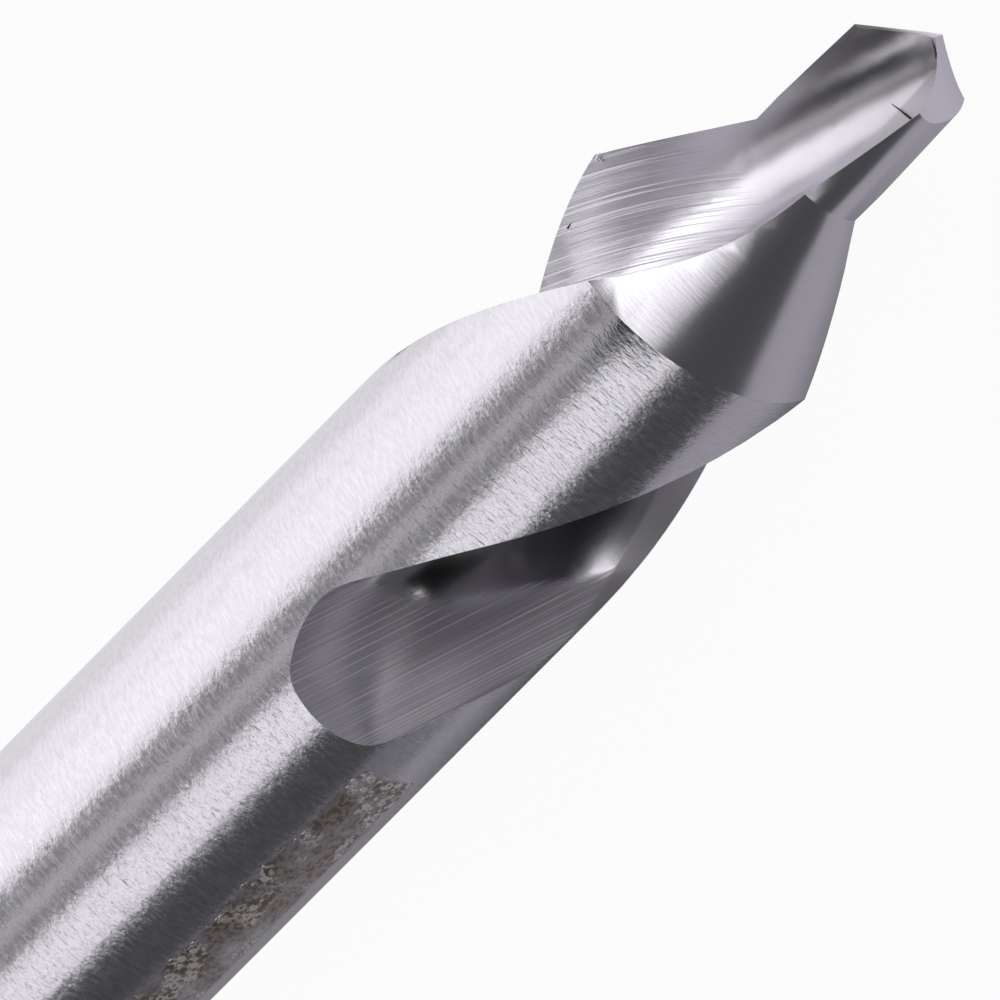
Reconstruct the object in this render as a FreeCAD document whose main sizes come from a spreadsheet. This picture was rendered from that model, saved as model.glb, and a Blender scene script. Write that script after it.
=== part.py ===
"""Center drill (combined drill and countersink), double-ended, ground from one bar of high-speed steel.

Frame: millimetres. The drill's axis is X, the origin is on the axis at mid length, and +Z is up.
The end with its tip at +X is modelled. The other end is the same one turned half a turn about Z,
so both ends cut right-handed.

A station is a distance back from the tip, along the axis. Angles about the axis are counted from +Z,
right-handed about +X.
"""

import FreeCAD, Part
import math
import os
import re

import Sketcher

SIZES = {
    # the bar
    "overall_length": 50.8,
    "body_diameter": 6.35,
    # pilot and countersink
    "pilot_diameter": 2.78,
    "pilot_length": 3.85,
    "countersink_angle": 60.0,
    # drill point
    "point_angle": 118.0,
    "lip_relief_angle": 20.0,
    "heel_relief_angle": 55.0,
    "flank_radius": 1.7,
    "lip_angle": 116.0,
    # flutes, ground by a wheel with a rounded V edge
    "helix_angle": 31.0,
    "flute_angle_at_tip": 201.5,
    "wheel_angle": 61.0,
    "wheel_edge_radius": 1.3,
    "wheel_offset": 0.51,
    "web_thickness": 0.44,
    "full_depth_length": 13.7,
    "runout_radius": 4.45,
    "straight_runout": 1.9,
    # relief behind the cutting edges of the countersink and the pilot
    "relief_offset": 0.28,
    "relief_angle": 145.0,
    "edge_angle_at_base": 73.0,
    "edge_angle_at_pilot": 88.0,
    "edge_angle_at_lip": 119.0,
}

# A tool that cuts starts and ends this far outside the metal.
CLEAR = 1.0
HELIX_SECTIONS = 8
RUNOUT_SECTIONS = 5
RUNOUT_SWEEP = 77.0

doc = FreeCAD.newDocument("center_drill")

sheet = doc.addObject("Spreadsheet::Sheet", "Sizes")
for row, (alias, value) in enumerate(SIZES.items(), start=1):
    sheet.set(f"A{row}", alias)
    sheet.set(f"B{row}", str(value))
    sheet.setAlias(f"B{row}", alias)
doc.recompute()


def sized(text):
    """Turns size names in an expression into references to the sheet."""
    return re.sub(r"[a-z_]+", lambda word: f"Sizes.{word[0]}" if word[0] in SIZES else word[0], text)


def bind(item, path, text):
    item.setExpression(path, sized(text))


body = doc.addObject("PartDesign::Body", "center_drill")
body.Label = "center_drill"
PLANES = {item.Role: item for item in body.Origin.OriginFeatures}


def new_sketch(name, plane, turn_axis):
    sketch = body.newObject("Sketcher::SketchObject", name)
    sketch.AttachmentSupport = [(PLANES[plane], "")]
    sketch.MapMode = "FlatFace"
    sketch.AttachmentOffset = FreeCAD.Placement(FreeCAD.Vector(0, 0, 0), FreeCAD.Rotation(turn_axis, 1.0))
    return sketch


def hold(sketch, constraints):
    """Adds named constraints and binds each to its expression."""
    for label, constraint, text in constraints:
        index = sketch.addConstraint(constraint)
        sketch.renameConstraint(index, label)
        bind(sketch, f"Constraints.{label}", text)


def add_polygon(sketch, points):
    """Draws a closed polygon; its corner i is point 1 of line i."""
    count = len(points)
    vectors = [FreeCAD.Vector(x, y, 0) for x, y in points]
    for i in range(count):
        sketch.addGeometry(Part.LineSegment(vectors[i], vectors[(i + 1) % count]), False)
    for i in range(count):
        sketch.addConstraint(Sketcher.Constraint("Coincident", i, 2, (i + 1) % count, 1))


def place_corner(sketch, corner, name, across, up):
    """Holds a polygon's corner at two distances from the sketch's origin, each an expression."""
    for kind, side, text in (("DistanceX", "x", across), ("DistanceY", "y", up)):
        point = sketch.getPoint(corner, 1)
        start = point.x if side == "x" else point.y
        index = sketch.addConstraint(Sketcher.Constraint(kind, -1, 1, corner, 1, start))
        sketch.renameConstraint(index, f"{name}_{side}")
        bind(sketch, f"Constraints.{name}_{side}", text)


# The blank: a bar with a pilot and a 60 degree cone turned on each end.
HALF_LENGTH = "overall_length / 2"
PILOT_END = "(overall_length / 2 - pilot_length)"
CONE_LENGTH = "((body_diameter - pilot_diameter) / 2 / tan(countersink_angle / 2))"
half = SIZES["overall_length"] / 2
radius = SIZES["body_diameter"] / 2
pilot = SIZES["pilot_diameter"] / 2
pilot_end = half - SIZES["pilot_length"]
cone_end = pilot_end - (radius - pilot) / math.tan(math.radians(SIZES["countersink_angle"] / 2))

outline = new_sketch("BlankOutline", "XY_Plane", FreeCAD.Vector(0, 0, 1))
outline.AttachmentOffset = FreeCAD.Placement()
corners = [
    ("tip_axis", HALF_LENGTH, None, half, 0.0),
    ("tip_rim", HALF_LENGTH, "pilot_diameter / 2", half, pilot),
    ("pilot_foot", PILOT_END, "pilot_diameter / 2", pilot_end, pilot),
    ("cone_foot", f"{PILOT_END} - {CONE_LENGTH}", "body_diameter / 2", cone_end, radius),
    ("far_cone_foot", f"-({PILOT_END} - {CONE_LENGTH})", "body_diameter / 2", -cone_end, radius),
    ("far_pilot_foot", f"-{PILOT_END}", "pilot_diameter / 2", -pilot_end, pilot),
    ("far_tip_rim", f"-{HALF_LENGTH}", "pilot_diameter / 2", -half, pilot),
    ("far_tip_axis", f"-{HALF_LENGTH}", None, -half, 0.0),
]
add_polygon(outline, [(x, y) for name, across, up, x, y in corners])
for index, (name, across, up, x, y) in enumerate(corners):
    if up is None:
        outline.addConstraint(Sketcher.Constraint("PointOnObject", index, 1, -1))
        mark = outline.addConstraint(Sketcher.Constraint("DistanceX", -1, 1, index, 1, x))
        outline.renameConstraint(mark, f"{name}_x")
        bind(outline, f"Constraints.{name}_x", across)
    else:
        place_corner(outline, index, name, across, up)

blank = body.newObject("PartDesign::Revolution", "Blank")
blank.Profile = outline
blank.ReferenceAxis = (PLANES["X_Axis"], [""])
blank.Angle = 360.0
body.Tip = blank
doc.recompute()

# The relief: each land is ground about an axis set off from the drill's own, so that countersink
# and pilot fall away behind their cutting edges. Along the edge the radius stays nominal.
LOW_BASE = "relief_offset * cos(relief_angle - edge_angle_at_base)"
LOW_PILOT = "relief_offset * cos(relief_angle - edge_angle_at_pilot)"
LOW_LIP = "relief_offset * cos(relief_angle - edge_angle_at_lip)"
LIP_DEPTH = "pilot_diameter / 2 / tan(point_angle / 2)"
LOW_SLOPE = f"({LOW_LIP} - {LOW_PILOT}) / (pilot_length - {LIP_DEPTH})"
LOW_TIP = f"({LOW_PILOT} + {LOW_SLOPE} * (pilot_length + {CLEAR}))"
relief_outline = new_sketch("ReliefOutline", "XZ_Plane", FreeCAD.Vector(1, 0, 0))
bind(relief_outline, "AttachmentOffset.Rotation.Angle", "relief_angle")
bind(relief_outline, "AttachmentOffset.Base.y", "relief_offset * cos(relief_angle)")
bind(relief_outline, "AttachmentOffset.Base.z", "relief_offset * sin(relief_angle)")
FOOT_RADIUS = f"(pilot_diameter / 2 - {LOW_PILOT})"
BASE_RADIUS = f"(body_diameter / 2 - {LOW_BASE})"
SLOPE = f"({CONE_LENGTH} / ({BASE_RADIUS} - {FOOT_RADIUS}))"
outside = radius + CLEAR
relief_corners = [
    ("tip_low", f"{HALF_LENGTH} + {CLEAR}", f"pilot_diameter / 2 - {LOW_TIP}", half + CLEAR, pilot - 0.3),
    ("foot_low", PILOT_END, FOOT_RADIUS, pilot_end, pilot - 0.15),
    ("base_low", f"{PILOT_END} - {SLOPE} * (body_diameter / 2 + {CLEAR} - {FOOT_RADIUS})",
     f"body_diameter / 2 + {CLEAR}", cone_end - 2.0 * CLEAR, outside),
    ("tip_high", f"{HALF_LENGTH} + {CLEAR}", f"body_diameter / 2 + {CLEAR}", half + CLEAR, outside),
]
add_polygon(relief_outline, [(x, y) for name, across, up, x, y in relief_corners])
for index, (name, across, up, x, y) in enumerate(relief_corners):
    place_corner(relief_outline, index, name, across, up)

relief = body.newObject("PartDesign::Groove", "Relief")
relief.Profile = relief_outline
relief.ReferenceAxis = (relief_outline, ["H_Axis"])
relief.Angle = 180.0
relief.Reversed = True
body.Tip = relief
doc.recompute()
print("relief takes", round(blank.Shape.Volume - relief.Shape.Volume, 3), "mm3")

# The flute: the wheel's section at stations along the axis, turned along the helix. At the far end
# the wheel rises out of the bar on an arc.
TURN_RATE = "(360 * tan(helix_angle) / (pi * body_diameter))"
CENTRE = "sqrt((wheel_edge_radius + web_thickness / 2) ^ 2 - wheel_offset ^ 2)"
half_wheel = math.radians(SIZES["wheel_angle"] / 2)
edge = SIZES["wheel_edge_radius"]
offset = SIZES["wheel_offset"]
centre = math.sqrt((edge + SIZES["web_thickness"] / 2) ** 2 - offset ** 2)


def flute_section(name, station, lift, rough_lift):
    """One section of the flute: two straight flanks and the rounded edge between them."""
    sketch = new_sketch(name, "YZ_Plane", FreeCAD.Vector(0, 0, 1))
    stop = "(full_depth_length + runout_radius - straight_runout)"
    bind(sketch, "AttachmentOffset.Base.z", f"{HALF_LENGTH} - ({station})")
    bind(sketch, "AttachmentOffset.Rotation.Angle",
         f"90 + flute_angle_at_tip - {TURN_RATE} * min({station}; {stop})")
    middle = centre + rough_lift
    reach = 2 * radius
    tangent = (edge * math.sin(half_wheel), edge * math.cos(half_wheel))
    spread = edge / math.cos(half_wheel) + reach * math.tan(half_wheel)
    low_flank = FreeCAD.Vector(middle - tangent[0], -offset - tangent[1], 0)
    high_flank = FreeCAD.Vector(middle - tangent[0], -offset + tangent[1], 0)
    low_rim = FreeCAD.Vector(middle + reach, -offset - spread, 0)
    high_rim = FreeCAD.Vector(middle + reach, -offset + spread, 0)
    bottom = FreeCAD.Vector(middle - edge, -offset, 0)
    sketch.addGeometry(Part.LineSegment(low_rim, low_flank), False)
    sketch.addGeometry(Part.Arc(low_flank, bottom, high_flank), False)
    sketch.addGeometry(Part.LineSegment(high_flank, high_rim), False)
    sketch.addGeometry(Part.LineSegment(high_rim, low_rim), False)
    # the arc runs counter-clockwise, from its high end to its low end
    sketch.addConstraint(Sketcher.Constraint("Tangent", 0, 2, 1, 2))
    sketch.addConstraint(Sketcher.Constraint("Tangent", 2, 1, 1, 1))
    sketch.addConstraint(Sketcher.Constraint("Coincident", 2, 2, 3, 1))
    sketch.addConstraint(Sketcher.Constraint("Coincident", 3, 2, 0, 1))
    sketch.addConstraint(Sketcher.Constraint("Vertical", 3))
    sketch.addConstraint(Sketcher.Constraint("Equal", 0, 2))
    hold(sketch, [
        ("edge_radius", Sketcher.Constraint("Radius", 1, edge), "wheel_edge_radius"),
        ("centre_x", Sketcher.Constraint("DistanceX", -1, 1, 1, 3, middle), f"{CENTRE} + {lift}"),
        ("centre_y", Sketcher.Constraint("DistanceY", -1, 1, 1, 3, -offset), "-wheel_offset"),
        ("flank_angle", Sketcher.Constraint("Angle", 0, 1, 2, 2, 2 * half_wheel), "wheel_angle"),
        ("rim_x", Sketcher.Constraint("DistanceX", 1, 3, 3, 1, reach), "body_diameter"),
    ])
    return sketch


sections = []
for step in range(HELIX_SECTIONS):
    share = step / (HELIX_SECTIONS - 1)
    station = f"{share} * (full_depth_length + {CLEAR}) - {CLEAR}"
    sections.append(flute_section(f"FluteSection{step}", station, "0", 0.0))
for step in range(1, RUNOUT_SECTIONS + 1):
    rise = RUNOUT_SWEEP * step / RUNOUT_SECTIONS
    station = f"full_depth_length + runout_radius * sin({rise})"
    lift = f"runout_radius * (1 - cos({rise}))"
    rough_lift = SIZES["runout_radius"] * (1 - math.cos(math.radians(rise)))
    sections.append(flute_section(f"RunoutSection{step}", station, lift, rough_lift))
doc.recompute()
flute = body.newObject("PartDesign::SubtractiveLoft", "Flute")
flute.Profile = sections[0]
flute.Sections = [(section, [""]) for section in sections[1:]]
flute.Ruled = False
flute.Closed = False
body.Tip = flute
doc.recompute()
print("flute takes", round(relief.Shape.Volume - flute.Shape.Volume, 3), "mm3", flute.State)

# The drill point: each flank slides along its own lip. It starts with a small relief angle at the lip
# and rounds over to a steep one at the heel. The two flanks meet in the chisel edge.
SIDE = "(pilot_diameter * 0.75)"
START = f"({HALF_LENGTH} - pilot_diameter / tan(point_angle / 2))"
TOP = f"({START} + pilot_diameter * 1.5)"
half_point = math.radians(SIZES["point_angle"] / 2)
lip_relief = math.radians(SIZES["lip_relief_angle"])
heel_relief = math.radians(SIZES["heel_relief_angle"])
flank_radius = SIZES["flank_radius"]
start = half - SIZES["pilot_diameter"] / math.tan(half_point)
side = SIZES["pilot_diameter"] * 0.75
top = start + SIZES["pilot_diameter"] * 1.5
turn_x = start - flank_radius * math.cos(lip_relief)
turn_y = flank_radius * math.sin(lip_relief)
bend_x = turn_x + flank_radius * math.cos(heel_relief)
bend_y = turn_y - flank_radius * math.sin(heel_relief)
lip_point = FreeCAD.Vector(start, 0, 0)
front_point = FreeCAD.Vector(start + side * math.tan(lip_relief), side, 0)
front_top = FreeCAD.Vector(top, side, 0)
heel_top = FreeCAD.Vector(top, -side, 0)
heel_point = FreeCAD.Vector(bend_x - (side + bend_y) * math.tan(heel_relief), -side, 0)
bend_point = FreeCAD.Vector(bend_x, bend_y, 0)
flank_circle = Part.Circle(FreeCAD.Vector(turn_x, turn_y, 0), FreeCAD.Vector(0, 0, 1), flank_radius)

flank_outline = new_sketch("FlankOutline", "XZ_Plane", FreeCAD.Vector(1, 0, 0))
bind(flank_outline, "AttachmentOffset.Rotation.Angle", "lip_angle + 90")
bind(flank_outline, "AttachmentOffset.Base.y", "pilot_diameter * cos(lip_angle)")
bind(flank_outline, "AttachmentOffset.Base.z", "pilot_diameter * sin(lip_angle)")
flank_outline.addGeometry(Part.LineSegment(lip_point, front_point), False)
flank_outline.addGeometry(Part.LineSegment(front_point, front_top), False)
flank_outline.addGeometry(Part.LineSegment(front_top, heel_top), False)
flank_outline.addGeometry(Part.LineSegment(heel_top, heel_point), False)
flank_outline.addGeometry(Part.LineSegment(heel_point, bend_point), False)
flank_outline.addGeometry(Part.ArcOfCircle(flank_circle, -heel_relief, -lip_relief), False)
for first in (0, 1, 2, 3):
    flank_outline.addConstraint(Sketcher.Constraint("Coincident", first, 2, first + 1, 1))
flank_outline.addConstraint(Sketcher.Constraint("Tangent", 4, 2, 5, 1))
flank_outline.addConstraint(Sketcher.Constraint("Tangent", 0, 1, 5, 2))
flank_outline.addConstraint(Sketcher.Constraint("Horizontal", 1))
flank_outline.addConstraint(Sketcher.Constraint("Vertical", 2))
flank_outline.addConstraint(Sketcher.Constraint("Horizontal", 3))
flank_outline.addConstraint(Sketcher.Constraint("PointOnObject", 0, 1, -1))
hold(flank_outline, [
    ("lip_x", Sketcher.Constraint("DistanceX", -1, 1, 0, 1, start), START),
    ("front_y", Sketcher.Constraint("DistanceY", -1, 1, 1, 1, side), SIDE),
    ("heel_y", Sketcher.Constraint("DistanceY", 4, 1, -1, 1, side), SIDE),
    ("top_x", Sketcher.Constraint("DistanceX", -1, 1, 2, 1, top), TOP),
    ("lip_relief", Sketcher.Constraint("Angle", 0, math.pi / 2 - lip_relief), "90 - lip_relief_angle"),
    ("heel_relief", Sketcher.Constraint("Angle", 4, math.pi / 2 - heel_relief), "90 - heel_relief_angle"),
    ("flank_radius", Sketcher.Constraint("Radius", 5, flank_radius), "flank_radius"),
])
doc.recompute()

flank = body.newObject("PartDesign::Pocket", "Flank")
flank.Profile = flank_outline
flank.UseCustomVector = True
flank.AlongSketchNormal = False
bind(flank, "Direction.x", "cos(point_angle / 2)")
bind(flank, "Direction.y", "sin(point_angle / 2) * sin(lip_angle)")
bind(flank, "Direction.z", "-sin(point_angle / 2) * cos(lip_angle)")
flank.Type = "Length"
bind(flank, "Length", "2 * pilot_diameter / sin(point_angle / 2)")
body.Tip = flank
doc.recompute()
print("flank takes", round(flute.Shape.Volume - flank.Shape.Volume, 3), "mm3", flank.State, flank.Direction)

# The same cuts on the other land, and all of them again on the other end.
ground = body.newObject("PartDesign::MultiTransform", "BothLandsBothEnds")
ground.Originals = [relief, flute, flank]
lands = body.newObject("PartDesign::PolarPattern", "BothLands")
lands.Axis = (PLANES["X_Axis"], [""])
lands.Angle = 360.0
lands.Occurrences = 2
ends = body.newObject("PartDesign::PolarPattern", "BothEnds")
ends.Axis = (PLANES["Z_Axis"], [""])
ends.Angle = 360.0
ends.Occurrences = 2
ground.Transformations = [lands, ends]
body.Tip = ground
doc.recompute()
print("four cuts take", round(blank.Shape.Volume - ground.Shape.Volume, 3), "mm3")

for item in doc.Objects:
    if "Invalid" in item.State or "Error" in item.State:
        raise RuntimeError(f"{item.Label} failed: {item.State}")
shape = body.Shape
if shape.isNull() or not shape.isValid() or len(shape.Solids) != 1:
    raise RuntimeError("the drill isn't one valid solid")
os.makedirs("parts", exist_ok=True)
shape.exportStep("parts/center_drill.step")
box = shape.optimalBoundingBox(True, False)
print("volume", round(shape.Volume, 2), "faces", len(shape.Faces))
print("box", [round(v, 3) for v in (box.XMin, box.YMin, box.ZMin, box.XMax, box.YMax, box.ZMax)])
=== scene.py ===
# %% [markdown]
# # A center drill
# A center drill is one bar of high-speed steel. Each end has a short pilot, a 60 degree cone behind
# it and two helical flutes, so one tool drills and countersinks the hole that a lathe center sits in.
# The solid comes from the CAD part. This file gives it its ground finishes, a floor, lamps and a
# camera.

# %% Set up
import math

import bmesh
import bpy
from mathutils import Matrix, Vector


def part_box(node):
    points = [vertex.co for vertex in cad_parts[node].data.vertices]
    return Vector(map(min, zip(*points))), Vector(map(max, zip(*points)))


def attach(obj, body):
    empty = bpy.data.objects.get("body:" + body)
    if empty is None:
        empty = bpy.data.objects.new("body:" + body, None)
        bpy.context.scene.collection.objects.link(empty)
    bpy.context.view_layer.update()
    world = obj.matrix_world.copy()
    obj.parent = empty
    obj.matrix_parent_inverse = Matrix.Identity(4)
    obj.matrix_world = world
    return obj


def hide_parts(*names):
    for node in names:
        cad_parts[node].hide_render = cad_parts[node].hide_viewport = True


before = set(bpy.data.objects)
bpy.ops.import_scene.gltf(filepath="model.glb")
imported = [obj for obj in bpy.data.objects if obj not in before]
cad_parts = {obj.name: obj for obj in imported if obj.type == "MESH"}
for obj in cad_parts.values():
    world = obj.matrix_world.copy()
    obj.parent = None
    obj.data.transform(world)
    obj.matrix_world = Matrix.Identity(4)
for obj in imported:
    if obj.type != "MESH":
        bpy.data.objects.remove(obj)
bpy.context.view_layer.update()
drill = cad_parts["center_drill"]

# %% [markdown]
# Blender works in metres here. The drill lies along X with its middle at the origin. Its finishes
# follow how it was ground, so the few sizes that place them are named once. A station is a distance
# back from the nearer tip.

# %% Sizes
MM = 0.001
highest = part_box("center_drill")[1]
HALF_LENGTH = highest[0]
BODY_RADIUS = highest[2]
PILOT_RADIUS = 1.39 * MM
CONE_START = 3.85 * MM
CONE_SLOPE = math.tan(math.radians(30))
CONE_END = CONE_START + (BODY_RADIUS - PILOT_RADIUS) / CONE_SLOPE
print("half length", HALF_LENGTH, "body radius", BODY_RADIUS, "cone ends at", CONE_END)

# %% [markdown]
# Colours are written as sRGB hex codes, as a designer would pick them, and turned to linear values
# in one place.

# %% Colour from a hex code
def colour(code):
    """sRGB hex to the linear colour that shaders take."""
    channels = [int(code[i:i + 2], 16) / 255 for i in (1, 3, 5)]
    linear = [c / 12.92 if c <= 0.04045 else ((c + 0.055) / 1.055) ** 2.4 for c in channels]
    return (*linear, 1.0)


# %% [markdown]
# All materials are node trees. One function adds a node, and a few short ones on top of it say what
# the nodes do: stretch a place, ramp a value, mix two colours, add a bump.

# %% Helpers for nodes
def add_node(tree, kind, links=(), **settings):
    """Adds a node, sets its properties and inputs, and links (input name or number, output socket)."""
    node = tree.nodes.new(kind)
    for name, value in settings.items():
        if hasattr(node, name):
            setattr(node, name, value)
        else:
            node.inputs[name].default_value = value
    for target, source in links:
        tree.links.new(source, node.inputs[target])
    return node


def object_place(tree):
    return add_node(tree, "ShaderNodeTexCoord").outputs["Object"]


def measured_in(tree, place, *sizes):
    """A place counted in grains of the given sizes along X, Y and Z."""
    scale = tuple(1 / size for size in sizes)
    return add_node(tree, "ShaderNodeMapping", links=[("Vector", place)], Scale=scale).outputs[0]


def noise(tree, place, scale, detail, roughness=0.5):
    return add_node(tree, "ShaderNodeTexNoise", links=[("Vector", place)], Scale=scale,
                    Detail=detail, Roughness=roughness).outputs[0]


def ramp(tree, value, start, end, low=0.0, high=1.0, kind="SMOOTHSTEP"):
    """low at start and high at end."""
    node = add_node(tree, "ShaderNodeMapRange", links=[("Value", value)], interpolation_type=kind)
    limits = (("From Min", start), ("From Max", end), ("To Min", low), ("To Max", high))
    for name, limit in limits:
        node.inputs[name].default_value = limit
    return node.outputs[0]


def maths(tree, operation, first, second):
    return add_node(tree, "ShaderNodeMath", operation=operation,
                    links=[(0, first), (1, second)]).outputs[0]


def times(tree, first, second):
    return maths(tree, "MULTIPLY", first, second)


def with_share(tree, value, share, amount):
    """The value plus the amount times the share."""
    node = add_node(tree, "ShaderNodeMath", operation="MULTIPLY_ADD", links=[(0, share), (2, value)])
    node.inputs[1].default_value = amount
    return node.outputs[0]


def steps_along(tree, place, direction):
    """How far a point lies along a direction."""
    node = add_node(tree, "ShaderNodeVectorMath", operation="DOT_PRODUCT", links=[(0, place)])
    node.inputs[1].default_value = direction
    return node.outputs["Value"]


def how_far(tree, value, middle):
    """The distance of a value from the middle, on either side."""
    off = add_node(tree, "ShaderNodeMath", operation="SUBTRACT", links=[(0, value)])
    off.inputs[1].default_value = middle
    return add_node(tree, "ShaderNodeMath", operation="ABSOLUTE",
                    links=[(0, off.outputs[0])]).outputs[0]


def mix_colours(tree, share, first, second):
    """first where the share is 0 and second where it is 1. Each is a colour or an output socket."""
    node = add_node(tree, "ShaderNodeMix", links=[(0, share)], data_type="RGBA")
    for socket, value in ((node.inputs[6], first), (node.inputs[7], second)):
        if isinstance(value, tuple):
            socket.default_value = value
        else:
            tree.links.new(value, socket)
    return node.outputs[2]


def bump(tree, height, depth, under=None):
    """A bump of the given depth, on top of another bump if there is one."""
    links = [("Height", height)] if under is None else [("Height", height), ("Normal", under)]
    return add_node(tree, "ShaderNodeBump", links=links, Strength=1.0, Distance=depth).outputs[0]


# %% [markdown]
# ## The drill's skin
# A CAD solid arrives as loose triangles. Grinding marks in a flute follow the wheel, not the drill's
# axis, so the flutes need a UV map of their own, and a node's mesh may not be changed. So a copy of
# the solid is welded, smoothed across its small facets and kept sharp at its ground edges.

# %% Weld a copy of the solid
WELD_DISTANCE = 0.001 * MM
SHARP_ANGLE = math.radians(16)
skin = bmesh.new()
skin.from_mesh(drill.data)
bmesh.ops.remove_doubles(skin, verts=skin.verts, dist=WELD_DISTANCE)
skin.normal_update()
for edge in skin.edges:
    edge.smooth = len(edge.link_faces) == 2 and edge.calc_face_angle(0.0) < SHARP_ANGLE
for face in skin.faces:
    face.smooth = True
print("skin has", len(skin.faces), "faces and", sum(not e.smooth for e in skin.edges), "sharp edges")

# %% [markdown]
# The flute is the track of a wheel with a rounded V edge, turned along a 31 degree helix. Seen from
# the middle of the flute, a point has a distance from the tip, one across the flute and a height
# above the axis. The other end is the same one turned half round about Z, so both share one rule.

# %% Where a point lies in its flute
HELIX = math.radians(31)
TURN_RATE = math.tan(HELIX) / BODY_RADIUS
FLUTE_ANGLE = math.radians(201.5)
TURN_STOP = 16.25 * MM


def nearest_tip(point):
    """The point as it lies at the +X end, and its distance from that end's tip."""
    turned = point if point.x >= 0 else Vector((-point.x, -point.y, point.z))
    return turned, HALF_LENGTH - turned.x


def flute_angle(station):
    return FLUTE_ANGLE - TURN_RATE * min(station, TURN_STOP)


def across_flute(point):
    """Distance from the tip and distance across the flute."""
    turned, station = nearest_tip(point)
    angle = flute_angle(station)
    outward = Vector((0.0, -math.sin(angle), math.cos(angle)))
    sideways = Vector((0.0, -math.cos(angle), -math.sin(angle)))
    if turned.dot(outward) < 0:
        sideways = -sideways
    return station, turned.dot(sideways)


# %% [markdown]
# The wheel's grains cut lines that are nearly parallel in each part of the flute. So the lines are
# laid out flat, on one plane that is fixed on the drill and faces the way the camera does: tilted
# 21.5 degrees towards the tip, with its level direction along the picture's. Seen from the side they
# look curved. In the run-out they climb 27 degrees across that plane. Towards the tip the flute has
# turned further and they bend from about 20 degrees to level. One flute is turned half round onto the
# other, so both have the same lines.

# %% Grinding lines
VIEW_TILT = math.radians(21.5)
ROLL = math.radians(45.2)
TOWARDS = Vector((math.sin(VIEW_TILT), 0.0, math.cos(VIEW_TILT)))
ALONG = Vector((math.cos(VIEW_TILT), 0.0, -math.sin(VIEW_TILT)))
LEFT = Vector((0.0, 1.0, 0.0))
LEVEL = ALONG * math.cos(ROLL) - LEFT * math.sin(ROLL)
UPRIGHT = ALONG * math.sin(ROLL) + LEFT * math.cos(ROLL)
RUNOUT_START = 10.6 * MM
RUNOUT_SLOPE = math.tan(math.radians(26.8))
TIP_SLOPE = math.tan(math.radians(23))
TIP_BEND = 80.0
TIP_BEND_START = 8.5 * MM
LEAST_BEND = -2 * MM


def line_place(point, runout):
    """Distances along and across the grinding lines, in millimetres."""
    turned, station = nearest_tip(point)
    angle = flute_angle(station)
    first_flute = turned.z * math.cos(angle) - turned.y * math.sin(angle) > 0
    if first_flute != runout:
        turned = Vector((turned.x, -turned.y, -turned.z))
    level, upright = turned.dot(LEVEL), turned.dot(UPRIGHT)
    if runout:
        slope, rise = RUNOUT_SLOPE, RUNOUT_SLOPE * level
    else:
        bend = max(level - TIP_BEND_START, LEAST_BEND)
        slope, rise = TIP_SLOPE, TIP_SLOPE * bend - TIP_BEND * bend * bend / 2
    tilt = math.atan(slope)
    return (level / math.cos(tilt) / MM, (upright - rise) * math.cos(tilt) / MM)


# %% [markdown]
# Each face is one of the ground surfaces. The bar was ground between centers, pilot and cone were
# ground with relief behind their edges, the flutes by the V wheel, and the point's flanks last. Where
# a face lies and where it points are enough to tell which surface it belongs to.

# %% Sort the faces by surface
BODY, CONE, FLUTE, FLANK, BURR = range(5)
FACET_DEPTH = 0.02 * MM
FLANK_LENGTH = 2.2 * MM
PILOT_RELIEF = 0.5 * MM
CONE_RELIEF = 0.6 * MM
PAST_CONE = 1.0 * MM


def surface_of(face):
    centre = face.calc_center_median()
    middle, station = nearest_tip(centre)
    towards_tip = face.normal.x * math.copysign(1.0, centre.x)
    radius = math.hypot(middle.y, middle.z)
    facing_out = (face.normal.y * centre.y + face.normal.z * centre.z) / radius
    on_body = station > CONE_END - 0.05 * MM and radius > BODY_RADIUS - FACET_DEPTH
    if on_body and facing_out > 0.95:
        return BODY
    if station < FLANK_LENGTH and radius < PILOT_RADIUS + FACET_DEPTH and towards_tip > 0.35:
        return FLANK
    if station < CONE_START - 0.1 * MM:
        return CONE if radius > PILOT_RADIUS - PILOT_RELIEF and facing_out > 0.9 else FLUTE
    blank = PILOT_RADIUS + (station - CONE_START) * CONE_SLOPE
    if station < CONE_END + PAST_CONE and radius > blank - CONE_RELIEF and facing_out > 0.7:
        return CONE
    return FLUTE


counts = [0, 0, 0, 0]
for face in skin.faces:
    face.material_index = surface_of(face)
    counts[face.material_index] += 1
print("faces of body, cone, flute and flank", counts)

# %% [markdown]
# The lines' layout is kept as a UV map. The wheel's flat side meets its rounded edge along a crease,
# which drifts across the flute. Each vertex also keeps its distance from that crease, positive on the
# heel's side, so that the shader can draw the border smoothly between vertices.

# %% Lay out the grinding lines
CREASE_ACROSS = 1.41 * MM
CREASE_STATION = 11.1 * MM
CREASE_DRIFT = 0.104
lines = skin.loops.layers.uv.new("grinding")
for face in skin.faces:
    runout = nearest_tip(face.calc_center_median())[1] > RUNOUT_START
    for loop in face.loops:
        loop[lines].uv = line_place(loop.vert.co, runout)

heel = skin.verts.layers.float.new("heel")
for vert in skin.verts:
    station, across = across_flute(vert.co)
    crease = CREASE_ACROSS + (station - CREASE_STATION) * CREASE_DRIFT
    vert[heel] = (across - crease) / MM
print("laid out lines for", counts[FLUTE], "flute faces")

# %% [markdown]
# Grinding drags a little steel over each edge, and the wheel doesn't always break it off. This drill
# kept a few such burrs: browned slivers where flute and point meet and on the outer edge, and a bright
# curl on the cone's outer corner. A sliver is a thin cone that lies on the surface. The curl is a small
# disc spun most of the way round.

# %% Burrs
def finish_new_faces(before, material):
    for face in skin.faces:
        if face not in before:
            face.material_index = material
            face.smooth = True


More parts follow.
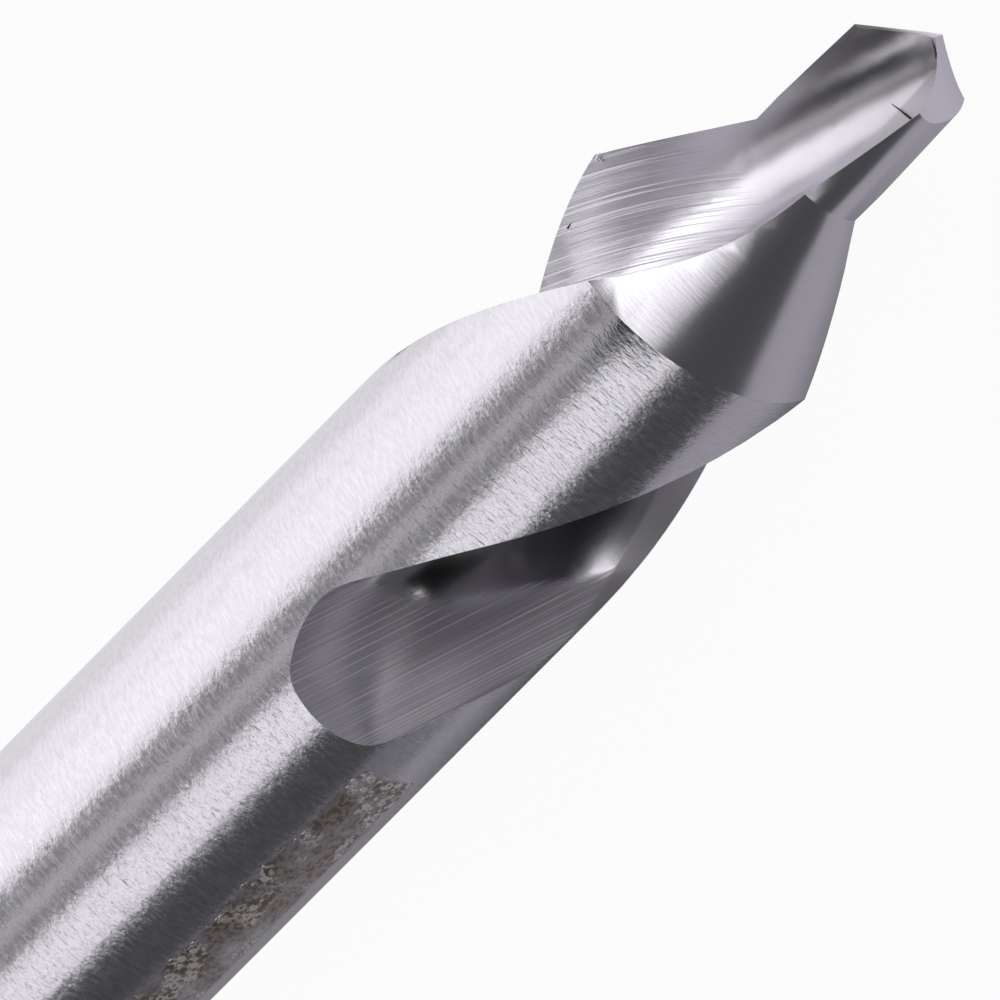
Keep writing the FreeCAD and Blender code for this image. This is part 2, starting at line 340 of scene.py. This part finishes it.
def sliver(start, end, width):
    """A tapered burr between two points, all in millimetres."""
    before = set(skin.faces)
    start, end = Vector(start) * MM, Vector(end) * MM
    turn = (end - start).to_track_quat("Z", "Y").to_matrix().to_4x4()
    bmesh.ops.create_cone(skin, cap_ends=True, segments=6, radius1=width * MM, radius2=width * MM / 3,
                          depth=(end - start).length,
                          matrix=Matrix.Translation((start + end) / 2) @ turn)
    finish_new_faces(before, BURR)


sliver((25.19, -0.21, 0.235), (25.33, 0.06, 0.22), 0.018)
sliver((25.18, -0.21, 0.235), (25.0, -0.39, 0.26), 0.02)
sliver((24.07, -0.73, 0.74), (23.86, -0.26, 0.33), 0.024)
sliver((16.62, 2.48, -1.66), (16.77, 2.50, -1.60), 0.022)

CURL_PLACE = Vector((18.47, 2.97, -0.68)) * MM
CURL_RADIUS = Vector((0.06 * MM, 0.0, 0.0))
CURL_THICKNESS = 0.044 * MM
before_curl = set(skin.faces)
disc = bmesh.ops.create_circle(skin, cap_ends=True, segments=8, radius=CURL_THICKNESS / 2,
                               matrix=Matrix.Translation(CURL_PLACE + CURL_RADIUS)
                               @ Matrix.Rotation(math.radians(90), 4, "X"))["verts"]
disc_face = list({face for vert in disc for face in vert.link_faces})
bmesh.ops.spin(skin, geom=disc_face, cent=CURL_PLACE, axis=(0.0, 0.0, 1.0),
               angle=math.radians(290), steps=14)
finish_new_faces(before_curl, FLANK)
print("skin with its burrs has", len(skin.faces), "faces")

# %% [markdown]
# The finished skin stands in for the CAD solid, which is hidden. It rides on the part's one body.

# %% Make the skin an object
mesh = bpy.data.meshes.new("ground_drill")
skin.to_mesh(mesh)
skin.free()
ground_drill = bpy.data.objects.new("ground_drill", mesh)
bpy.context.collection.objects.link(ground_drill)
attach(ground_drill, "root")
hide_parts("center_drill")

# %% [markdown]
# ## Ground high-speed steel
# Hardened high-speed steel is a little darker and bluer than plain steel. A grinding wheel leaves it
# covered in fine parallel scratches, so it is bright but never a mirror, and a reflection is smeared
# across the scratches. Colour, roughness and bump all come from the same scratches, so they agree.
# Real scratches are 5 to 20 microns wide. They are drawn 2 to 3 times wider, so that they show.

# %% Steel colours
STEEL = colour("#C8C5CC")
DULL_STEEL = colour("#BEBBC2")
FLUTE_STEEL = colour("#C4C1C8")
# Painted sheen: the run-out's steel is lighter, for the light that part catches.
RUNOUT_SHEEN_STEEL = colour("#DCD9E0")
# Painted glint: torn lines are near white, for the light they pick out.
TORN_GLINT_STEEL = colour("#FCFAFF")
FLANK_STEEL = colour("#EFEBF4")
BURNT_STEEL = colour("#ACA19A")
DARK_OXIDE = colour("#7F7670")
PALE_CRUST = colour("#EAE4DE")
BURR_BROWN = colour("#6B5346")
BURR_BLACK = colour("#3A3230")


def new_steel(name, base, roughness):
    """A metal, its node tree, its shader and its Object coordinates."""
    material = bpy.data.materials.new(name)
    material.use_nodes = True
    tree = material.node_tree
    shader = tree.nodes["Principled BSDF"]
    shader.inputs["Base Color"].default_value = base
    shader.inputs["Metallic"].default_value = 1.0
    shader.inputs["Roughness"].default_value = roughness
    return material, tree, shader, object_place(tree)


# %% [markdown]
# The body was ground while it turned, so its scratches run round it. Noise on Object coordinates that
# is stretched round the bar gives short streaks with no seam. A coarser layer makes them come and go.

# %% Cylindrically ground body
STREAK_WIDTH = 0.035 * MM
STREAK_LENGTH = 0.13 * MM
GRAIN_WIDTH = 0.09 * MM
GRAIN_LENGTH = 0.16 * MM
body_steel, tree, shader, place = new_steel("cylindrically ground HSS", STEEL, 0.24)
streaks = noise(tree, measured_in(tree, place, STREAK_WIDTH, STREAK_LENGTH, STREAK_LENGTH),
                0.5, 2.0, 0.6)
grain = noise(tree, measured_in(tree, place, GRAIN_WIDTH, GRAIN_LENGTH, GRAIN_LENGTH), 0.5, 3.0, 0.65)
rough = ramp(tree, streaks, 0.3, 0.7, 0.18, 0.28, kind="LINEAR")
ground_bump = bump(tree, grain, 0.009 * MM, under=bump(tree, streaks, 0.006 * MM))
streaked = mix_colours(tree, ramp(tree, streaks, 0.38, 0.62, kind="LINEAR"), DULL_STEEL, STEEL)

# %% [markdown]
# On the body behind one flute the steel is discoloured by heat: a brown, duller patch with ragged
# edges and a pale speckled crust. The patch is bounded by distances on Object coordinates. Noise makes
# it blotchy, and the cells of a Voronoi texture make the crust's small rings.

# %% Where the patch lies
TINT_MIDDLE = 3.0 * MM
TINT_HALF_LENGTH = 4.6 * MM
TINT_ANGLE = math.radians(56)
TINT_HALF_WIDTH = 1.1 * MM
lengthwise = how_far(tree, steps_along(tree, place, (1.0, 0.0, 0.0)), TINT_MIDDLE)
round_the_bar = (0.0, -math.cos(TINT_ANGLE), -math.sin(TINT_ANGLE))
sidewise = how_far(tree, steps_along(tree, place, round_the_bar), 0.0)
outward = steps_along(tree, place, (0.0, -math.sin(TINT_ANGLE), math.cos(TINT_ANGLE)))
patch = times(tree, ramp(tree, lengthwise, TINT_HALF_LENGTH, TINT_HALF_LENGTH - 0.8 * MM),
              ramp(tree, sidewise, TINT_HALF_WIDTH, TINT_HALF_WIDTH - 0.6 * MM))
patch = times(tree, patch, ramp(tree, outward, 0.0, 0.1 * MM))
ragged = maths(tree, "ADD", patch, noise(tree, place, 1 / (0.5 * MM), 3.0))
patch = times(tree, ramp(tree, patch, 0.0, 0.15), ramp(tree, ragged, 0.8, 1.15))

# %% [markdown]
# The steel under the patch is brown with dark oxide specks. The crust gathers in clusters on top of
# it, stands proud of it and is the dullest of all.

# %% Blotches and crust
brown = times(tree, patch, ramp(tree, noise(tree, place, 1 / (0.8 * MM), 4.0, 0.6), 0.2, 0.6))
cluster = times(tree, patch, ramp(tree, noise(tree, place, 1 / (1.1 * MM), 2.0), 0.46, 0.56))
cells = add_node(tree, "ShaderNodeTexVoronoi", links=[("Vector", place)], Scale=1 / (0.26 * MM))
cell = cells.outputs["Distance"]
ring = times(tree, ramp(tree, cell, 0.46, 0.34), ramp(tree, cell, 0.1, 0.24))
speckle = noise(tree, place, 1 / (0.11 * MM), 2.0, 0.6)
crust = times(tree, cluster, maths(tree, "MAXIMUM", ring, ramp(tree, speckle, 0.52, 0.62)))
burnt = mix_colours(tree, ramp(tree, speckle, 0.38, 0.58), DARK_OXIDE, BURNT_STEEL)
browned = mix_colours(tree, brown, streaked, burnt)
tree.links.new(mix_colours(tree, crust, browned, PALE_CRUST), shader.inputs["Base Color"])
duller = with_share(tree, rough, brown, 0.18)
tree.links.new(with_share(tree, duller, crust, 0.2), shader.inputs["Roughness"])
tree.links.new(bump(tree, crust, 0.05 * MM, under=ground_bump), shader.inputs["Normal"])

# %% [markdown]
# Cone and pilot were ground in one pass with a finer wheel. They are smoother than the body and
# their scratches also run round the drill.

# %% Finely ground cone and pilot
cone_steel, tree, shader, place = new_steel("finely ground HSS", STEEL, 0.22)
streaks = noise(tree, measured_in(tree, place, 0.03 * MM, 0.3 * MM, 0.3 * MM), 0.5, 2.0, 0.6)
tree.links.new(bump(tree, streaks, 0.0007 * MM), shader.inputs["Normal"])

# %% [markdown]
# A coarse wheel cuts the flutes in one deep pass. It leaves straight lines 0.1 to 0.2 mm apart that
# scatter light strongly across themselves. The noise is on the flute's UV map: far along a line
# little changes, and across the lines it changes quickly. Three places have no lines: the strip that
# the wheel's flat side leaves beside the heel, the pilot, and the steep side under the cutting edge
# of the run-out.

# %% Where the flute has lines
LINE_SPACING = 0.12
LINE_LENGTH = 200.0
STEEP_BORDERS = ((-0.6, 6.67), (-0.25, 3.83))  # slope, and height in millimetres on the UV map
flute_steel, tree, shader, place = new_steel("coarsely ground HSS", FLUTE_STEEL, 0.24)
shader.inputs["Anisotropic"].default_value = 0.6
shader.inputs["Anisotropic Rotation"].default_value = 0.25
line_map = add_node(tree, "ShaderNodeUVMap", uv_map="grinding").outputs[0]
on_lines = measured_in(tree, line_map, LINE_LENGTH, LINE_SPACING, 1.0)


def steep_side(tree, line_map):
    """1 on the steep side under the cutting edge, whose lower border is two straight pieces."""
    split = add_node(tree, "ShaderNodeSeparateXYZ", links=[("Vector", line_map)])
    borders = []
    for slope, height in STEEP_BORDERS:
        border = add_node(tree, "ShaderNodeMath", operation="MULTIPLY_ADD",
                          links=[(0, split.outputs["X"])])
        border.inputs[1].default_value = slope
        border.inputs[2].default_value = height
        borders.append(border.outputs[0])
    above = maths(tree, "SUBTRACT", split.outputs["Y"], maths(tree, "MAXIMUM", *borders))
    return ramp(tree, above, -0.1, 0.3)


smooth_side = add_node(tree, "ShaderNodeAttribute", attribute_name="heel").outputs["Fac"]
ground_side = ramp(tree, smooth_side, 0.03, -0.03)
along_bar = how_far(tree, steps_along(tree, place, (1.0, 0.0, 0.0)), 0.0)
behind_pilot = ramp(tree, along_bar, 20.8 * MM, 18.4 * MM)
run_out = ramp(tree, along_bar, 15.6 * MM, 14.2 * MM)
edge_side = times(tree, run_out, steep_side(tree, line_map))
off_edge = add_node(tree, "ShaderNodeMath", operation="SUBTRACT", links=[(1, edge_side)])
off_edge.inputs[0].default_value = 1.0
line_share = times(tree, times(tree, ground_side, behind_pilot), off_edge.outputs[0])

# %% [markdown]
# Shallow lines cover the surface, deep ones lie here and there, and in the torn ones the wheel tore
# the steel, so they are rough. Their near-white colour is a painted glint for the bright lines that
# the light picks out. The run-out was cut last and is rougher than the rest. Its lighter colour is
# painted sheen, for the light that this part of the flute catches.

# %% Coarsely ground flute
shallow = times(tree, noise(tree, on_lines, 1.0, 4.0, 0.7), line_share)
deep = times(tree, ramp(tree, noise(tree, on_lines, 1.6, 1.0), 0.56, 0.6), line_share)
torn = times(tree, ramp(tree, noise(tree, on_lines, 2.6, 1.0), 0.55, 0.6), line_share)
line_bump = bump(tree, deep, 0.012 * MM, under=bump(tree, shallow, 0.014 * MM))
tree.links.new(line_bump, shader.inputs["Normal"])
rough = ramp(tree, ground_side, 0.0, 1.0, 0.5, 0.3, kind="LINEAR")
for share, more in ((run_out, 0.25), (edge_side, -0.34), (torn, 0.55)):
    rough = with_share(tree, rough, share, more)
tree.links.new(rough, shader.inputs["Roughness"])
# Painted sheen: the run-out is mixed towards a lighter steel.
sheened_flute_colour = mix_colours(tree, run_out, FLUTE_STEEL, RUNOUT_SHEEN_STEEL)
# Painted glint: the torn lines turn near white.
tree.links.new(mix_colours(tree, torn, sheened_flute_colour, TORN_GLINT_STEEL), shader.inputs["Base Color"])
tangent = add_node(tree, "ShaderNodeTangent", direction_type="UV_MAP", uv_map="grinding")
tree.links.new(tangent.outputs[0], shader.inputs["Tangent"])

# %% [markdown]
# The flanks of the point were ground on a small wheel, across the lips, and look flat grey.

# %% Ground flank
flank_steel, tree, shader, place = new_steel("point-ground HSS", FLANK_STEEL, 0.38)
grain = noise(tree, measured_in(tree, place, *[0.05 * MM] * 3), 0.5, 3.0, 0.6)
tree.links.new(bump(tree, grain, 0.002 * MM), shader.inputs["Normal"])

# %% [markdown]
# A burr gets hot as it is torn off, so it is brown. It is rough all over.

# %% Browned burr
burr_steel, tree, shader, place = new_steel("torn HSS burr", BURR_BROWN, 0.5)
heat = ramp(tree, noise(tree, place, 1 / (0.03 * MM), 2.0), 0.4, 0.6)
tree.links.new(mix_colours(tree, heat, BURR_BROWN, BURR_BLACK), shader.inputs["Base Color"])

for material in (body_steel, cone_steel, flute_steel, flank_steel, burr_steel):
    ground_drill.data.materials.append(material)
print("materials", [m.name for m in ground_drill.data.materials])

# %% [markdown]
# ## Studio
# The drill lies on white paper. Its flutes don't reach its middle, so the plain bar touches the paper
# all along its lowest line.

# %% Floor
FLOOR_SIZE = 1.2


def new_board(name, bm):
    """Turns a bmesh into an object of the scene."""
    mesh = bpy.data.meshes.new(name)
    bm.to_mesh(mesh)
    bm.free()
    board = bpy.data.objects.new(name, mesh)
    bpy.context.collection.objects.link(board)
    return board


def flat_sheet(length, width, place):
    bm = bmesh.new()
    bmesh.ops.create_grid(bm, x_segments=1, y_segments=1, size=0.5)
    bmesh.ops.scale(bm, verts=bm.verts, vec=Vector((length, width, 1.0)))
    bmesh.ops.translate(bm, verts=bm.verts, vec=Vector(place))
    return bm


def flat_board(name, length, width, place):
    """A rectangle of board, level with the bench."""
    return new_board(name, flat_sheet(length, width, place))


floor = flat_board("floor", FLOOR_SIZE, FLOOR_SIZE, (0, 0, -BODY_RADIUS))

# %% [markdown]
# The camera and the steel see the paper as almost pure white, as in a product picture. A small share
# of it stays lit by the lamps, so the drill keeps its shadow.

# %% White paper
PAPER_GLOW = 0.95
paper = bpy.data.materials.new("matt white paper")
paper.use_nodes = True
tree = paper.node_tree
lit = tree.nodes["Principled BSDF"]
lit.inputs["Base Color"].default_value = colour("#F2F2F2")
lit.inputs["Roughness"].default_value = 0.9
rays = add_node(tree, "ShaderNodeLightPath").outputs
seen = maths(tree, "MAXIMUM", rays["Is Camera Ray"], rays["Is Glossy Ray"])
share = add_node(tree, "ShaderNodeMath", operation="MULTIPLY", links=[(0, seen)])
share.inputs[1].default_value = PAPER_GLOW
glow = add_node(tree, "ShaderNodeEmission", Color=colour("#FFFFFF"), Strength=1.0)
mix = add_node(tree, "ShaderNodeMixShader",
               links=[(0, share.outputs[0]), (1, lit.outputs[0]), (2, glow.outputs[0])])
tree.links.new(mix.outputs[0], tree.nodes["Material Output"].inputs["Surface"])
floor.data.materials.append(paper)

# %% [markdown]
# Past the paper's edge the camera sees the same white. For the steel the room is nearly dark.

# %% World
ROOM_LIGHT = 0.09
SEEN_LIGHT = 0.95
world = bpy.data.worlds.new("studio")
bpy.context.scene.world = world
world.use_nodes = True
tree = world.node_tree
background = tree.nodes["Background"]
background.inputs["Color"].default_value = colour("#FFFFFF")
rays = add_node(tree, "ShaderNodeLightPath").outputs
strength = ramp(tree, rays["Is Camera Ray"], 0.0, 1.0, ROOM_LIGHT, SEEN_LIGHT, kind="LINEAR")
tree.links.new(strength, background.inputs["Strength"])

# %% [markdown]
# Polished steel shows its surroundings, so the lamps are placed by what the steel should reflect. A
# level bar seen from above reflects, at each angle round it, the direction twice that angle from
# overhead. So every bright band on the drill gives the place and width of one long softbox.

# %% Lamps
LAMP_DISTANCE = 0.5


def softbox(name, start, end, strength, back, front):
    """A lamp parallel to the drill that fills the angles from start to end, in degrees from overhead,
    and the stretch of X from back to front. Positive angles lean towards -Y."""
    middle = math.radians((start + end) / 2)
    width = 2 * LAMP_DISTANCE * math.tan(math.radians(end - start) / 2)
    lamp = bpy.data.lights.new(name, "AREA")
    lamp.shape = "RECTANGLE"
    lamp.size = front - back
    lamp.size_y = width
    lamp.energy = strength * width * (front - back) * math.pi
    holder = bpy.data.objects.new(name, lamp)
    holder.location = Vector((0.0, -math.sin(middle), math.cos(middle))) * LAMP_DISTANCE
    holder.location.x = (back + front) / 2
    holder.rotation_euler = (middle, 0.0, 0.0)
    bpy.context.collection.objects.link(holder)
    print(name, "is", round(width, 3), "m wide")


softbox("left softbox", -90, -45, 1.5, -0.6, -0.02)
softbox("far left softbox", -90, -50, 0.6, -0.6, -0.3)
softbox("dim softbox", -45, -3, 0.24, -0.3, -0.1)
softbox("thin top softbox", -28, -17, 0.5, -0.3, -0.1)
softbox("top softbox", -3, 34, 1.62, -0.3, -0.125)
softbox("tip softbox", -48, 10, 3.1, 0.335, 0.46)
softbox("back softbox", -66, -8, 1.6, -1.7, -0.42)

# %% [markdown]
# A photographer lays a grey sheet of card beside a bright bar, so that it keeps a dark side. Here a
# card glows instead, lies on the -Y side and stands up along its outer edge. Its glow is painted
# shadow and light: darkest next to the drill, as a painted shadow of the drill on the paper, and
# lighter towards the tip, beside the middle of the bar and beside the point. Only reflections see it.

# %% Shade card
CARD_LENGTH = 0.4
CARD_WIDTH = 17 * MM
CARD_HEIGHT = 8 * MM
CARD_GAP = 0.5 * MM
CARD_LEVEL = -BODY_RADIUS + 0.02 * MM


def hide_card(card):
    """Leaves a card to reflections alone."""
    card.visible_camera = False
    card.visible_diffuse = False
    card.visible_shadow = False


def glowing_material(name, tint):
    """A black material that shines in its tint, its node tree and its strength socket."""
    material = bpy.data.materials.new(name)
    material.use_nodes = True
    tree = material.node_tree
    surface = tree.nodes["Principled BSDF"]
    surface.inputs["Base Color"].default_value = (0.0, 0.0, 0.0, 1.0)
    surface.inputs["Specular IOR Level"].default_value = 0.0
    surface.inputs["Emission Color"].default_value = tint
    return material, tree, surface.inputs["Emission Strength"]


bm = flat_sheet(CARD_LENGTH, CARD_WIDTH, (0, -CARD_WIDTH / 2 - CARD_GAP, CARD_LEVEL))
far_side = [edge for edge in bm.edges if all(v.co.y < -CARD_WIDTH for v in edge.verts)]
upright = bmesh.ops.extrude_edge_only(bm, edges=far_side)["geom"]
bmesh.ops.translate(bm, verts=[v for v in upright if isinstance(v, bmesh.types.BMVert)],
                    vec=Vector((0, 0, CARD_HEIGHT)))
card = new_board("shade_card", bm)
hide_card(card)
shade, tree, shine = glowing_material("glowing shade card", colour("#F9F7FF"))
split = add_node(tree, "ShaderNodeSeparateXYZ", links=[("Vector", object_place(tree))])
card_x, card_y = split.outputs["X"], split.outputs["Y"]
# Painted shadow: the glow is least next to the drill, where the drill shades the paper.
away = ramp(tree, card_y, -2 * MM, -8 * MM, 0.05, 0.2, kind="LINEAR")
near_tip = ramp(tree, card_x, 1 * MM, 10 * MM, 0.0, 0.34)
outer_part = maths(tree, "MAXIMUM", ramp(tree, card_y, -2 * MM, -15 * MM),
                   ramp(tree, card_x, 15 * MM, 23 * MM))
level = maths(tree, "ADD", away, times(tree, near_tip, outer_part))
# Painted light beside the middle of the bar and beside the point.
beside_bar = times(tree, ramp(tree, card_x, 10 * MM, 2 * MM), ramp(tree, card_y, -22 * MM, -9 * MM))
beside_point = times(tree, ramp(tree, card_x, 23 * MM, 26 * MM), ramp(tree, card_y, -7 * MM, -4 * MM))
for share, lift in ((beside_bar, 0.2), (beside_point, 0.06)):
    level = with_share(tree, level, share, lift)
tree.links.new(level, shine)
card.data.materials.append(shade)

# %% [markdown]
# The camera and its hood are black and stand right over the tip. The flute's wall beside the cutting
# edge faces them, which is why it is nearly black.

# %% Camera hood
hood = flat_board("camera_hood", 0.15, 0.36, (0.095, -0.07, 0.3))
hide_card(hood)
black = bpy.data.materials.new("black cloth")
black.use_nodes = True
surface = black.node_tree.nodes["Principled BSDF"]
surface.inputs["Base Color"].default_value = colour("#0A0A0A")
surface.inputs["Roughness"].default_value = 1.0
surface.inputs["Specular IOR Level"].default_value = 0.0
hood.data.materials.append(black)

# %% [markdown]
# Two black flags float 12 mm above the bench and keep the tip's lamp out of the flute's run-out.

# %% Black flags
FLAG_LEVEL = 9 * MM
for name, length, width, x, y in (("high_flag", 6.4, 3.6, 18.6, -0.6),
                                  ("side_flag", 2.4, 1.7, 16.4, 2.05)):
    flag = flat_board(name, length * MM, width * MM, (x * MM, y * MM, FLAG_LEVEL))
    hide_card(flag)
    flag.visible_shadow = True
    flag.data.materials.append(black)

# %% [markdown]
# Three flat cards lie on the paper on the +Y side. The white one shines like paper under a lamp and
# brightens the body's left edge, more so further out. The two grey ones glow dimly as painted shadow,
# the drill's shade on the paper beside it, and darken what the flutes and the far edge of the pilot
# reflect.

# %% Low cards
def glowing_card(name, material_name, start, end, near, far):
    """A card on the paper from corner to corner, in millimetres, as bright as near and far say."""
    middle = [(a + b) / 2 * MM for a, b in zip(start, end)]
    card = flat_board(name, (end[0] - start[0]) * MM, (end[1] - start[1]) * MM,
                      (*middle, CARD_LEVEL))
    hide_card(card)
    material, tree, shine = glowing_material(material_name, colour("#FFFFFF"))
    across = steps_along(tree, object_place(tree), (0.0, 1.0, 0.0))
    tree.links.new(ramp(tree, across, 7 * MM, 19 * MM, near, far, kind="LINEAR"), shine)
    card.data.materials.append(material)


glowing_card("white_card", "white card", (-300, 5.5), (15, 250), 1.1, 1.5)
# The two grey cards glow dimly as painted shadow of the drill on the paper.
glowing_card("tip_card", "tip shadow glow", (17, 1.3), (47, 8.3), 0.13, 0.13)
glowing_card("low_card", "low shadow glow", (11.4, 1.9), (16.5, 5.4), 0.15, 0.15)

# %% [markdown]
# ## Camera
# The camera looks down on the drill, tilted 21.5 degrees towards its near tip, and is rolled so that
# the drill rises to the right at 45 degrees. A long lens keeps its sides parallel.

# %% Camera
CAMERA_DISTANCE = 406 * MM
FRAME_WIDTH = 19.36 * MM
SENSOR_WIDTH = 36.0
TARGET = Vector((12.27 * MM, -0.30 * MM, 0.0))
camera_data = bpy.data.cameras.new("camera")
camera = bpy.data.objects.new("camera", camera_data)
bpy.context.collection.objects.link(camera)
camera.matrix_world = Matrix((LEVEL, UPRIGHT, TOWARDS)).transposed().to_4x4()
camera.location = TARGET + TOWARDS * CAMERA_DISTANCE
camera_data.sensor_width = SENSOR_WIDTH
camera_data.lens = SENSOR_WIDTH * CAMERA_DISTANCE / FRAME_WIDTH
camera_data.clip_start = 0.01
camera_data.clip_end = 10.0
bpy.context.scene.camera = camera

# %% [markdown]
# The view transform is Standard, so colours render as they are written. The skin must
# stay inside the CAD box.

# %% Finish
bpy.context.scene.view_settings.view_transform = "Standard"
